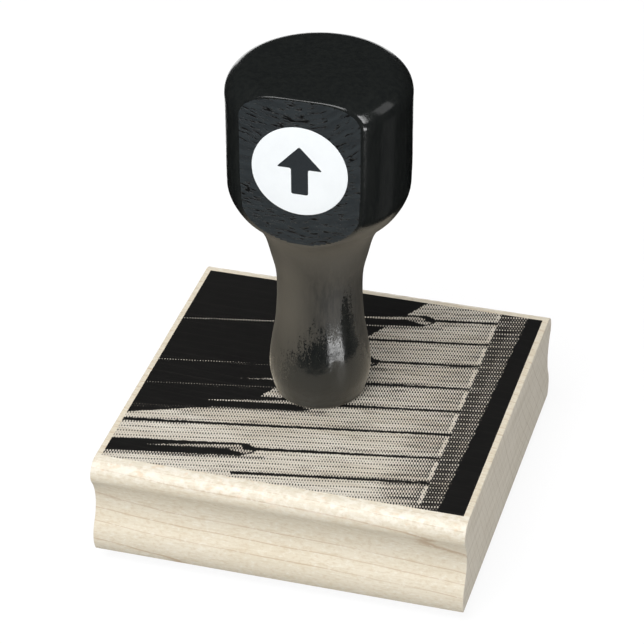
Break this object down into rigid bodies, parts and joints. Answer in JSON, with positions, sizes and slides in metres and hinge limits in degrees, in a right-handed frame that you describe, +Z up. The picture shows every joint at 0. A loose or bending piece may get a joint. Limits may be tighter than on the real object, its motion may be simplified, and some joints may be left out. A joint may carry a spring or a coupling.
{
  "type": "rubber stamp",
  "caption": "Hand stamp with a turned wooden handle on a moulded maple block, a picture label on top, and a rubber die on a foam cushion below.",
  "frame": {"origin": "centre of the whole object's base, on the surface that the die rests on", "axes": "+Z up along the handle, +X along the block's mouldings, -Y towards the flat with the round label on the handle's head"},
  "size_m": [0.0788, 0.0812, 0.1014],
  "materials": {
    "maple": "bare sanded maple with faint growth lines",
    "picture": "satin film with a black halftone picture",
    "black_lacquer": "gloss black lacquer over open-grained wood",
    "label": "smooth white label with a plain dark arrow",
    "screw_steel": "bright zinc-plated steel",
    "adhesive": "thin clear adhesive film",
    "foam": "fine closed-cell foam",
    "die_rubber": "matt engraved rubber"
  },
  "bodies": {
    "block": {"wood_block": "maple", "picture_film": "picture", "handle": "black_lacquer", "handle_badge": "label", "handle_screw": "screw_steel", "block_tape": "adhesive", "foam_cushion": "foam"},
    "die": {"die_tape": "adhesive", "rubber_die": "die_rubber"}
  },
  "joints": [
    {"name": "cushion_press", "type": "slide", "parent": "block", "child": "die", "axis": [0, 0, 1], "range_m": [0, 0.0006], "stiffness_N_per_m": 20000, "deforming": ["foam_cushion"]}
  ]
}
